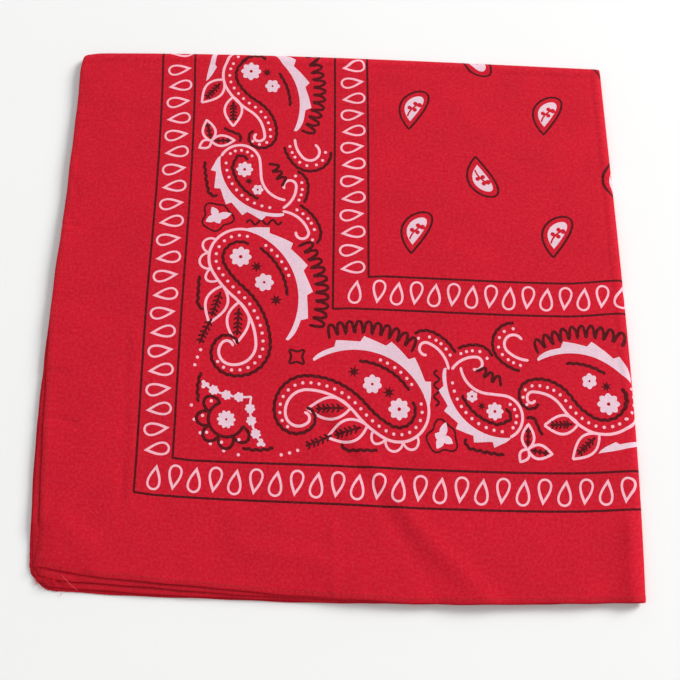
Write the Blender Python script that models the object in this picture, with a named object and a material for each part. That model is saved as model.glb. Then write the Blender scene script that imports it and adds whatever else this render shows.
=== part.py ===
"""A cotton bandana, folded twice into quarters and lying flat, face side out.

The square of cloth is folded once along the far edge (+Y) and once along the right edge (+X), so four
layers lie on each other: the face quarter on top, two hidden layers, and the under quarter, which
rests on the surface. The hemmed edges lie at the left (-X) and at the near edge (-Y), staggered at
the near left corner. Each piece is a wall of cloth worked out from the sizes below. Lengths are in
millimetres until a mesh is made, and the finished part is in metres, +Z up, with its origin under
the middle of its box.
"""
import bmesh
import bpy
import numpy as np

MM = 0.001

# ---- the cloth -------------------------------------------------------------------------------
FACE_SIDE = 275.0       # flat side of the face quarter, hem to fold
UNDER_SIDE = 283.0      # flat side of the lower quarters: the folds lie a little off the middle
WALL = 1.0              # thickness of one wall of cloth
HIDDEN = 1.5            # thickness of the two hidden layers together
GAP = 0.3               # clearance between pieces
PILE = 2 * WALL + HIDDEN + 2 * GAP

# ---- the hems ---------------------------------------------------------------------------------
HEM_WIDTH = 3.0
HEM_SWELL = 0.35        # how much the thrice laid hem stands above its panel
HEM_COLUMNS = {         # across a hem: distance from the edge, outer swell, inner rounding
    "across": (0.0, 0.6, 1.6, 2.5, HEM_WIDTH),
    "swell": (-0.35, 0.20, HEM_SWELL, 0.20, -0.20),
    "round": (0.25, 0.0, 0.0, 0.0, 0.15),
}

# ---- the folds --------------------------------------------------------------------------------
FOLD_REACH = 6.0        # how far in from a fold the top starts to turn down
FOLD_RISE = (PILE - GAP) / 2
FOLD_STEPS = 4          # rows of faces round the turn
TURN = np.pi / 2

# ---- the lie of the pile: each side's line, from its near or left end ---------------------------
# side: (place at its first end, place at its last end, bow outwards at the middle, skew of the bow)
LEFT_HEM = (-136.6, -140.6, -3.1, 3.4)
RIGHT_FOLD = (138.3, 136.6, 2.3, -1.2)
NEAR_HEM = (-140.6, -141.6, -3.0, 0.0)
FAR_FOLD = (139.6, 135.0, 2.2, -0.9)

# layer: (how far its left hem, and its near hem, stand back from the lowest one at the corner)
SETBACKS = {
    "face": (4.4, 8.4),
    "second": (1.4, 5.2),
    "third": (0.5, 1.6),
    "under": (0.0, 0.0),
}
LEFT_FADE = (0.56, 0.40)    # share of the left side where the setback ends, and over which it grows
NEAR_FADE = 0.62            # share of the near side where the setback ends
SETBACK_REACH = 3           # power by which a setback dies away across the panel
CORNER_EASE = 2.0           # how far the hemmed corners are rounded in
CORNER_REACH = 12.0         # distance along both edges over which they are

# ---- the largest creases of the top -------------------------------------------------------------
# (start x, start y, end x, end y, depth, half width), in plan
CREASES = (
    (-16.0, -53.0, 51.0, -143.0, 0.80, 9.0),
    (30.0, -102.0, 70.0, -143.0, 0.40, 8.0),
    (127.0, -142.0, 131.0, -76.0, 0.50, 7.0),
    (-45.0, -133.0, -3.0, -134.0, 0.40, 8.0),
    (-102.0, -100.0, -100.0, -28.0, 0.35, 7.0),
)

HIDDEN_SINK = 1.5       # the hidden layers sink this much more under a crease, to stay clear

CREASED_CELLS = 22      # cells along a side of the face and of the hidden layers, on the flat
FLAT_CELLS = 10         # cells along a side of the under quarter, which has no creases

# material: (red, green, blue, roughness)
COTTON = {
    "face_cotton": (0.56, 0.020, 0.036, 0.88),
    "hem_cotton": (0.50, 0.016, 0.030, 0.90),
    "hidden_cotton": (0.46, 0.014, 0.026, 0.90),
    "under_cotton": (0.54, 0.019, 0.034, 0.88),
}


def clear_scene():
    """Remove whatever the scene holds."""
    for item in list(bpy.data.objects):
        bpy.data.objects.remove(item, do_unlink=True)


def cotton(name):
    """A matt cotton material of the named colour."""
    red, green, blue, roughness = COTTON[name]
    material = bpy.data.materials.new(name)
    material.use_nodes = True
    shader = material.node_tree.nodes["Principled BSDF"]
    shader.inputs["Base Color"].default_value = (red, green, blue, 1.0)
    shader.inputs["Roughness"].default_value = roughness
    shader.inputs["Metallic"].default_value = 0.0
    return material


# ---- the lie of the cloth -----------------------------------------------------------------------
def line_of(side, share):
    """Place of a side's line at a share of its length: a straight run plus a bow with its skew."""
    first, last, bow, skew = side
    return first + (last - first) * share + 4 * share * (1 - share) * (bow + skew * (2 * share - 1))


def smooth(value):
    """A soft step from 0 to 1 over the same range."""
    value = np.clip(value, 0.0, 1.0)
    return value * value * (3 - 2 * value)


def quarter_turn_length():
    """Length of the elliptical quarter turn of a fold, by summing short chords."""
    angle = np.linspace(0.0, TURN, 91)
    steps = np.hypot(np.diff(FOLD_REACH * np.sin(angle)), np.diff(FOLD_RISE * np.cos(angle)))
    return float(steps.sum())


QUARTER_TURN = quarter_turn_length()


def corner_ease(first_away, second_away):
    """Inward shift near a corner: the square of what is left of its reach along both edges."""
    left = np.clip(1 - (first_away + second_away) / CORNER_REACH, 0.0, 1.0)
    return CORNER_EASE * left ** 2


def turn_angle(to_rim):
    """Angle round the fold at a distance from the rim, along the cloth: 0 on the flat."""
    return TURN * np.clip(1 - to_rim / QUARTER_TURN, 0.0, 1.0)


def inset_of(to_rim, side, width, depth_in):
    """Distance in from the fold line: an ellipse round the fold, then straight on to the hem.

    depth_in is how far inside the outer skin the surface lies.
    """
    angle = turn_angle(to_rim)
    round_part = FOLD_REACH - (FOLD_REACH - depth_in) * np.sin(angle)
    flat_run = np.maximum(to_rim - QUARTER_TURN, 0.0)
    return round_part + flat_run * (width - FOLD_REACH) / (side - QUARTER_TURN)


def place(along, up, side, left_back, near_back, depth_in):
    """Plan position of a point of a layer, from its flat distances along and up from its hems.

    The layer spans from its hem lines to the two fold lines. left_back and near_back are how far
    its hems stand back at the corner, and both die away along the hem and across the panel.
    """
    s = np.clip(along / side, 0.0, 1.0)
    t = np.clip(up / side, 0.0, 1.0)
    left_line = line_of(LEFT_HEM, t)
    near_line = line_of(NEAR_HEM, s)
    right_line = line_of(RIGHT_FOLD, t)
    far_line = line_of(FAR_FOLD, s)
    fade_start, fade_run = LEFT_FADE
    back_x = left_back * smooth((fade_start - t) / fade_run) * (1 - s) ** SETBACK_REACH
    back_y = near_back * np.clip(1 - s / NEAR_FADE, 0.0, 1.0) * (1 - t) ** SETBACK_REACH
    x = right_line - inset_of(side - along, side, right_line - left_line, depth_in) + back_x
    y = far_line - inset_of(side - up, side, far_line - near_line, depth_in) + back_y
    near_left = corner_ease(along, up)
    far_left = corner_ease(along, side - up)
    return x + near_left + far_left, y + near_left - far_left


def crease_depth(x, y):
    """How far the top sinks: each crease is a soft trough along its line, deepest at its middle."""
    depth = np.zeros(np.shape(x))
    for start_x, start_y, end_x, end_y, deepest, half_width in CREASES:
        run_x = end_x - start_x
        run_y = end_y - start_y
        length = np.hypot(run_x, run_y)
        share = ((x - start_x) * run_x + (y - start_y) * run_y) / length ** 2
        off = ((y - start_y) * run_x - (x - start_x) * run_y) / length
        ends = smooth(np.minimum(share, 1 - share) * length / half_width + 0.5)
        depth = np.maximum(depth, deepest * ends * np.exp(-(off / half_width) ** 2))
    return depth


def fold_share(along, up, side):
    """1 on the flat, falling to 0 at the rim of either fold, as the cosines of both turns."""
    return np.cos(turn_angle(side - along)) * np.cos(turn_angle(side - up))


# ---- the walls ------------------------------------------------------------------------------------
def lines_to_fold(start, side, cells):
    """Grid lines from a start past the corner's rounding, evenly on, and round the turn."""
    flat = np.linspace(CORNER_REACH, side - QUARTER_TURN, cells)
    turning = side - QUARTER_TURN * (1 - np.arange(1, FOLD_STEPS + 1) / FOLD_STEPS)
    return np.concatenate([[start], flat, turning])


def wall_points(layer, side, along_lines, up_lines, swell, rounding):
    """Outer and inner skins of a wall, as two grids of points.

    swell lifts the outer skin and rounding lifts the inner skin towards it, point by point. The
    under layer is the same wall turned upside down, and it has no creases, so it rests flat.
    """
    along, up = np.meshgrid(along_lines, up_lines, indexing="ij")
    left_back, near_back = SETBACKS[layer]
    flat_share = fold_share(along, up, side)
    skins = []
    for depth_in, extra in ((0.0, swell), (WALL, rounding)):
        x, y = place(along, up, side, left_back, near_back, depth_in)
        rise = (FOLD_RISE - depth_in + extra) * flat_share
        if layer == "face":
            z = PILE - FOLD_RISE + rise - crease_depth(x, y) * flat_share
        else:
            z = FOLD_RISE - rise
        skins.append(np.stack([x, y, z], axis=-1))
    return skins


def panel(layer, side, cells):
    """A quarter of the cloth inside its hems, turned over both folds to the rim."""
    lines = lines_to_fold(HEM_WIDTH + GAP, side, cells)
    return wall_points(layer, side, lines, lines, 0.0, 0.0)


def hem(layer, side, cells, edge):
    """A hem strip: the left one runs the whole edge, and the near one starts beside it."""
    across = np.array(HEM_COLUMNS["across"])
    swell = np.array(HEM_COLUMNS["swell"])
    rounding = np.array(HEM_COLUMNS["round"])
    if layer == "under":
        swell = np.minimum(swell, 0.0)
    inside = lines_to_fold(HEM_WIDTH + GAP, side, cells)
    if edge == "left":
        whole = np.concatenate([[0.0, HEM_WIDTH / 2], inside])
        return wall_points(layer, side, across, whole, swell[:, None], rounding[:, None])
    return wall_points(layer, side, inside, across, swell[None, :], rounding[None, :])


def hidden_points():
    """The two hidden layers as one solid: stepped at both hemmed edges, rounded at both folds.

    Each row of the step table is a grid line near a hem: the layer whose edge it follows, its
    distance inside that edge, and the heights of the upper and the lower skin from the middle.
    """
    half = HIDDEN / 2
    steps = (
        ("third", 0.0, -0.30, -0.60),
        ("third", 0.3, -0.04, -half),
        ("second", 0.6, 0.04, -half),
        ("second", 1.0, half, -half),
    )
    tuck = WALL + GAP
    lines = [distance for _, distance, _, _ in steps]
    lines = np.concatenate([lines, lines_to_fold(HEM_WIDTH + GAP, UNDER_SIDE, CREASED_CELLS)])
    rest = len(lines) - len(steps)
    backs = np.array([SETBACKS[layer] for layer, _, _, _ in steps] + [SETBACKS["second"]] * rest)
    upper_edge = np.array([height for _, _, height, _ in steps] + [half] * rest)
    lower_edge = np.array([depth for _, _, _, depth in steps] + [-half] * rest)
    along, up = np.meshgrid(lines, lines, indexing="ij")
    share = fold_share(along, up, UNDER_SIDE)
    left_back = np.repeat(backs[:, :1], len(lines), axis=1)
    near_back = np.repeat(backs[:, 1:].T, len(lines), axis=0)
    x, y = place(along, up, UNDER_SIDE, left_back, near_back, tuck)
    sink = HIDDEN_SINK * crease_depth(x, y)
    rim = 0.1
    upper = np.minimum(upper_edge[:, None], upper_edge[None, :])
    lower = np.maximum(lower_edge[:, None], lower_edge[None, :])
    upper = np.where(upper > 0.5 * half, upper - sink, upper)
    top = PILE / 2 + rim * (1 - share) + upper * share
    base = PILE / 2 - rim * (1 - share) + lower * share
    return [np.stack([x, y, top], axis=-1), np.stack([x, y, base], axis=-1)]


# ---- meshes ---------------------------------------------------------------------------------------
def grid_solid(name, skins, material, centre):
    """One closed solid from two grids of points: both skins, joined round their four edges."""
    outer, inner = skins
    rows, columns = outer.shape[:2]
    points = np.concatenate([outer.reshape(-1, 3), inner.reshape(-1, 3)])
    points = (points - centre) * MM
    index = np.arange(rows * columns).reshape(rows, columns)
    below = index + rows * columns
    shape = bmesh.new()
    corners = [shape.verts.new(point) for point in points.tolist()]

    def quads(ring):
        for four in ring.reshape(-1, 4).tolist():
            shape.faces.new([corners[corner] for corner in four])

    def cells(grid):
        return np.stack([grid[:-1, :-1], grid[1:, :-1], grid[1:, 1:], grid[:-1, 1:]], axis=-1)

    quads(cells(index))
    quads(cells(below)[..., ::-1])
    for edge, under in (
        (index[:, 0], below[:, 0]),
        (index[-1, :], below[-1, :]),
        (index[::-1, -1], below[::-1, -1]),
        (index[0, ::-1], below[0, ::-1]),
    ):
        quads(np.stack([edge[1:], edge[:-1], under[:-1], under[1:]], axis=-1))
    bmesh.ops.recalc_face_normals(shape, faces=shape.faces)
    mesh = bpy.data.meshes.new(name)
    shape.to_mesh(mesh)
    shape.free()
    mesh.materials.append(material)
    mesh.shade_smooth()
    mesh.set_sharp_from_angle(angle=np.radians(40))
    item = bpy.data.objects.new(name, mesh)
    bpy.context.scene.collection.objects.link(item)
    return item


def build():
    """The seven pieces of the folded bandana, centred over the origin."""
    clear_scene()
    pieces = {
        "face_quarter": (panel("face", FACE_SIDE, CREASED_CELLS), "face_cotton"),
        "face_hem_left": (hem("face", FACE_SIDE, CREASED_CELLS, "left"), "hem_cotton"),
        "face_hem_bottom": (hem("face", FACE_SIDE, CREASED_CELLS, "near"), "hem_cotton"),
        "hidden_layers": (hidden_points(), "hidden_cotton"),
        "under_quarter": (panel("under", UNDER_SIDE, FLAT_CELLS), "under_cotton"),
        "under_hem_left": (hem("under", UNDER_SIDE, FLAT_CELLS, "left"), "hem_cotton"),
        "under_hem_bottom": (hem("under", UNDER_SIDE, FLAT_CELLS, "near"), "hem_cotton"),
    }
    everything = np.concatenate([skin.reshape(-1, 3) for skins, _ in pieces.values() for skin in skins])
    centre = (everything.min(axis=0) + everything.max(axis=0)) / 2
    centre[2] = everything[:, 2].min()
    materials = {name: cotton(name) for name in COTTON}
    for name, (skins, colour) in pieces.items():
        grid_solid(name, skins, materials[colour], centre)


build()
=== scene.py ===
"""A printed cotton bandana, folded twice into quarters and lying flat on a pale floor.

Flat places on a layer are in millimetres along (from the left hem to the right fold) and up (from the
near hem to the far fold). lay() turns them into places in the room, in metres. The print is drawn
flat, cut into the face's mesh as inked faces, and goes round both folds onto the under quarter.
"""

import bpy
import numpy as np
from mathutils import Matrix, Vector
from mathutils.geometry import delaunay_2d_cdt


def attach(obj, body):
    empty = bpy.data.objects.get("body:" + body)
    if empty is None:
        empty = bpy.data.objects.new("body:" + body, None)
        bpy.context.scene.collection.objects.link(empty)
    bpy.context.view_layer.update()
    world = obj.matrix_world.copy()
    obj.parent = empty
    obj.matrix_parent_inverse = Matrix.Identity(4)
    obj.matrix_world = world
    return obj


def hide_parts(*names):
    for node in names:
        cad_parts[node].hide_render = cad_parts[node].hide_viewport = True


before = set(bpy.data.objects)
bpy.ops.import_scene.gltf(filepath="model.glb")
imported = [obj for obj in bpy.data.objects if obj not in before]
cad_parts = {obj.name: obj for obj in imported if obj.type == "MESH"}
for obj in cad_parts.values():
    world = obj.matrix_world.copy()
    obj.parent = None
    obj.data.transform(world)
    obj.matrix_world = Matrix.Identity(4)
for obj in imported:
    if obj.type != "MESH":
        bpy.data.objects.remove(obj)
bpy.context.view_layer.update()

MM = 0.001

# ---- the cloth, as the frame's solids have it ---------------------------------------------------
FACE_SIDE = 275.0
UNDER_SIDE = 283.0
PILE = 4.1              # height of the four layers
CLOTH = 0.42            # thickness of the cloth that shows
FOLD_REACH = 4.4        # how far in from a fold the top starts to turn down
FOLD_RISE = PILE / 2
HEM_WIDTH = 3.0
CENTRE = (-0.832, -1.836)   # middle of the pile in the lines below

# side: place at its first end, place at its last end, bow of its middle, skew of the bow
LEFT_HEM = (-136.6, -140.6, -3.1, 3.4)
RIGHT_FOLD = (138.3, 136.6, 2.3, -1.2)
NEAR_HEM = (-140.6, -141.6, -3.0, 0.0)
FAR_FOLD = (139.6, 135.0, 2.2, -0.9)

# layer: side, setback of the left and near hems at the corner, height of its outside on the flat
LAYERS = {
    "face": (FACE_SIDE, 4.4, 8.4, PILE),
    "second": (UNDER_SIDE, 1.4, 5.2, 3.05),
    "third": (UNDER_SIDE, 0.5, 1.6, 1.95),
    "under": (UNDER_SIDE, 0.0, 0.0, 0.0),
}
LEFT_FADE = (0.56, 0.40)    # share of the left side where its setback ends, and over which it fades
NEAR_FADE = 0.62            # share of the near side where its setback ends
SETBACK_REACH = 3           # power by which a setback dies away across the layer
CORNER_EASE = 2.0           # how far the far-left corner is rounded in
CORNER_REACH = 12.0         # distance along both edges over which it is
# layer: shift to the right and away at its near-left corner, and how far from the corner it reaches
NEAR_LEFT_EASE = {
    "face": (-3.2, 2.4, 26.0),
    "second": (1.6, 2.2, 14.0),
    "third": (3.4, 3.4, 12.0),
    "under": (4.0, 4.0, 12.0),
}
FOLD_SWELL = (0.5, 1.4)     # how far the soft right and far folds swell past their lines
HEM_SPREAD = 1.4            # how far the left edge spreads out past its line, most at its near end
SPREAD_REACH = 28.0         # how far in from the left edge the cloth spreads with it
TURN_SLACK = 0.3            # a turn's length is measured on a rise this much lower than the pile


def smooth(value):
    """A soft step from 0 to 1 over the same range."""
    value = np.clip(value, 0.0, 1.0)
    return value * value * (3 - 2 * value)


def line_of(side, share):
    """Place of a side's line at a share of its length: a straight run plus a bow with its skew."""
    first, last, bow, skew = side
    return first + (last - first) * share + 4 * share * (1 - share) * (bow + skew * (2 * share - 1))


def quarter_turn_length():
    """Length of the elliptical quarter turn of a fold, by summing short chords."""
    angle = np.linspace(0.0, np.pi / 2, 91)
    rise = (PILE - TURN_SLACK) / 2
    return float(np.hypot(np.diff(FOLD_REACH * np.sin(angle)), np.diff(rise * np.cos(angle))).sum())


QUARTER_TURN = quarter_turn_length()


def turn_angle(to_rim):
    """Angle round a fold at a distance from its rim, along the cloth: 0 on the flat."""
    return np.pi / 2 * np.clip(1 - to_rim / QUARTER_TURN, 0.0, 1.0)


def inset_of(to_rim, side, width, lift, swell):
    """Distance in from the fold line: an ellipse round the fold, then straight on to the hem."""
    round_part = FOLD_REACH - (FOLD_REACH + swell + lift) * np.sin(turn_angle(to_rim))
    flat_run = np.maximum(to_rim - QUARTER_TURN, 0.0)
    return round_part + flat_run * (width - FOLD_REACH) / (side - QUARTER_TURN)


def corner_ease(first_away, second_away, reach=CORNER_REACH):
    """Share of the shift near a corner: the square of what is left of its reach along both edges."""
    return np.clip(1 - (first_away + second_away) / reach, 0.0, 1.0) ** 2


def plan(layer, along, up, lift):
    """Plan position of points of a layer: between its hem lines and the fold lines, set back."""
    side, left_back, near_back, _ = LAYERS[layer]
    s = np.clip(along / side, 0.0, 1.0)
    t = np.clip(up / side, 0.0, 1.0)
    right_line = line_of(RIGHT_FOLD, t)
    far_line = line_of(FAR_FOLD, s)
    back_x = left_back * smooth((LEFT_FADE[0] - t) / LEFT_FADE[1]) * (1 - s) ** SETBACK_REACH
    back_y = near_back * np.clip(1 - s / NEAR_FADE, 0.0, 1.0) * (1 - t) ** SETBACK_REACH
    width = right_line - line_of(LEFT_HEM, t)
    length = far_line - line_of(NEAR_HEM, s)
    x = right_line - inset_of(side - along, side, width, lift, FOLD_SWELL[0]) + back_x
    y = far_line - inset_of(side - up, side, length, lift, FOLD_SWELL[1]) + back_y
    spread = HEM_SPREAD * (0.12 + 0.88 * smooth((0.62 - t) / 0.35) + 0.5 * smooth((t - 0.8) / 0.2))
    x = x - spread * (1 - smooth(along / SPREAD_REACH))
    ease_x, ease_y, reach = NEAR_LEFT_EASE[layer]
    near_left = corner_ease(along, up, reach)
    far_left = CORNER_EASE * corner_ease(along, side - up)
    return x + ease_x * near_left + far_left, y + ease_y * near_left - far_left


def lay(layer, along, up, lift=0.0):
    """Places in the room, in metres, of flat places on a layer, raised by lift along its outside."""
    along, up, lift = np.broadcast_arrays(along, up, lift)
    x, y = plan(layer, along, up, lift)
    side, _, _, height = LAYERS[layer]
    share = np.cos(turn_angle(side - along)) * np.cos(turn_angle(side - up))
    if layer == "under":
        z = FOLD_RISE - (FOLD_RISE + lift) * share
    else:
        z = FOLD_RISE + (height - FOLD_RISE + lift) * share
        z = z + RELIEF_SHARE[layer] * relief(along * FACE_SIDE / side, up * FACE_SIDE / side) * share
    return np.stack([x - CENTRE[0], y - CENTRE[1], z], axis=-1) * MM


# ---- the camera -----------------------------------------------------------------------------------
VIEW_BACK = 178.8       # how far the camera stands back of the pile's own origin, in millimetres
VIEW_HIGH = 458.4 + PILE
VIEW_DIP = 70.96        # degrees below level
VIEW_ROLL = 1.0         # degrees
SENSOR = 36.0
FRAME_WIDTH = 680       # pixels
FOCAL_LENGTH = 1000     # pixels


def place_camera():
    """A camera over the near edge, looking down at the pile."""
    lens = bpy.data.cameras.new("camera")
    lens.lens = SENSOR * FOCAL_LENGTH / FRAME_WIDTH
    lens.sensor_width = SENSOR
    lens.sensor_fit = "HORIZONTAL"
    lens.clip_start = 0.01
    lens.clip_end = 20.0
    camera = bpy.data.objects.new("camera", lens)
    bpy.context.scene.collection.objects.link(camera)
    camera.location = (-CENTRE[0] * MM, (-VIEW_BACK - CENTRE[1]) * MM, VIEW_HIGH * MM)
    tilt = Matrix.Rotation(np.radians(90 - VIEW_DIP), 4, "X")
    roll = Matrix.Rotation(np.radians(VIEW_ROLL), 4, "Z")
    camera.rotation_euler = (tilt @ roll).to_euler()
    bpy.context.scene.camera = camera


# ---- the print ------------------------------------------------------------------------------------
# Places and lengths are in millimetres on the flat cloth, headings and turns in degrees.
# What a face of the cloth shows: bare red cloth, thin pale lines, white areas, or black lines.
BARE, PALE, WHITE, BLACK = range(4)
# widths of the printed lines
PALE_PEN = 1.36
BLACK_PEN = 1.55
FRAME_PEN = 1.1
TWIG_PEN = 1.2
LINE_STEP = 0.8         # distance between points along a printed line
ARC_STEP = 0.5          # and along a run of arcs
CURVE_PIECES = 16       # straight pieces between two knots of a curve
BAND_HALF = 3.4         # from a paisley's row of dots to its pale line, and to its black one
FRAME_LEFT = (44.1, 61.1, 134.3, 151.3)     # where the frame lines lie, from the left hem
FRAME_NEAR = (40.8, 58.2, 134.6, 151.7)     # and from the near hem
FRAME_END = 284.0       # where they end, past both folds
FRAME_STEP = 8.0        # distance between the knots of a frame line

# how the near side's motifs lie against the left side's: place along it, shift inwards, shift onwards
NEAR_SIDE_LIE = (
    (100, -4.5, 8.0),
    (160, -2.5, 5.5),
    (225, -2.0, 1.0),
    (260, 1.0, -2.0),
    (290, 1.0, -2.0),
)

# the drops of the middle field: where the first lies, the steps to the next ones, and its hand
FIELD_DROPS = (
    (173.8, 176.0, 69.4, 68.7, 1),
    (207.4, 208.0, 68.5, 70.0, -1),
)


def smooth_line(knots, step=LINE_STEP, closed=False):
    """Even points along a curve through the knots: Catmull-Rom pieces, timed by root chords."""
    knots = np.array(knots, float)
    if closed:
        ring = np.concatenate([knots[-1:], knots, knots[:2]])
    else:
        ring = np.concatenate([2 * knots[:1] - knots[1:2], knots, 2 * knots[-1:] - knots[-2:-1]])
    times = np.concatenate([[0.0], np.cumsum(np.hypot(*np.diff(ring, axis=0).T) ** 0.5)])
    t0, t1, t2, t3 = (times[k:len(times) - 3 + k, None, None] for k in range(4))
    p0, p1, p2, p3 = (ring[k:len(ring) - 3 + k, None, :] for k in range(4))
    t = t1 + (t2 - t1) * np.linspace(0, 1, CURVE_PIECES + 1)[None, :-1, None]

    def mix(a, b, start, end):
        """The place between a and b at the same share as the time between start and end."""
        return (a * (end - t) + b * (t - start)) / (end - start)

    first, second, third = mix(p0, p1, t0, t1), mix(p1, p2, t1, t2), mix(p2, p3, t2, t3)
    curve = mix(mix(first, second, t0, t2), mix(second, third, t1, t3), t1, t2).reshape(-1, 2)
    curve = np.concatenate([curve, knots[:1] if closed else knots[-1:]])
    along = np.concatenate([[0.0], np.cumsum(np.hypot(*np.diff(curve, axis=0).T))])
    count = max(int(round(along[-1] / step)), 2) + 1
    even = np.linspace(0, along[-1], count)
    return np.stack([np.interp(even, along, curve[:, k]) for k in (0, 1)], axis=-1)


def arcs(start, heading, *runs):
    """A curve of arcs from a place and a heading: each run is a length and its turn to the left."""
    lengths, turns = np.array(runs, float).T
    count = max(int(round(lengths.sum() / ARC_STEP)), 4)
    step = lengths.sum() / count
    ends = np.concatenate([[0.0], np.cumsum(lengths)])
    turned = np.concatenate([[0.0], np.cumsum(turns)])
    angle = heading + np.interp((np.arange(count) + 0.5) * step, ends, turned)
    steps = step * np.stack([np.cos(np.radians(angle)), np.sin(np.radians(angle))], axis=-1)
    return np.array(start, float) + np.concatenate([[(0.0, 0.0)], np.cumsum(steps, axis=0)])


def part(path, first, last):
    """The stretch of a path between two shares of it."""
    return path[int(first * (len(path) - 1)):int(last * (len(path) - 1)) + 1]


def shares(path):
    """The share of a path at which each of its points lies."""
    return np.linspace(0.0, 1.0, len(path))


def beside(path, distance):
    """The path moved to its left by a distance, which may change along it."""
    run = np.gradient(path, axis=0)
    run = run / np.maximum(np.hypot(run[:, 0], run[:, 1]), 1e-9)[:, None]
    return path + np.stack([-run[:, 1], run[:, 0]], axis=-1) * np.reshape(distance, (-1, 1))


def polar(centre, angle, reach):
    """Points round a centre at angles, in radians, and at distances."""
    return np.array(centre) + np.stack([np.cos(angle), np.sin(angle)], axis=-1) * np.reshape(reach, (-1, 1))


def disc(centre, radius, sides=10):
    """A round outline."""
    return polar(centre, np.arange(sides) * 2 * np.pi / sides, np.full(sides, radius))


def teardrop(half_wide, half_long, fullness, lean):
    """A teardrop outline, tip down: its half width is a sine that dies away to the tip, which leans."""
    angle = np.linspace(0, 2 * np.pi, 26, endpoint=False)
    y = np.cos(angle) * half_long
    x = np.sin(angle) * np.abs(np.cos(angle / 2)) ** fullness * half_wide * 1.18
    return np.stack([x + lean * np.clip((half_long * 0.65 - y) / (2 * half_long), 0, 1) ** 1.4, y], axis=-1)


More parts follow.
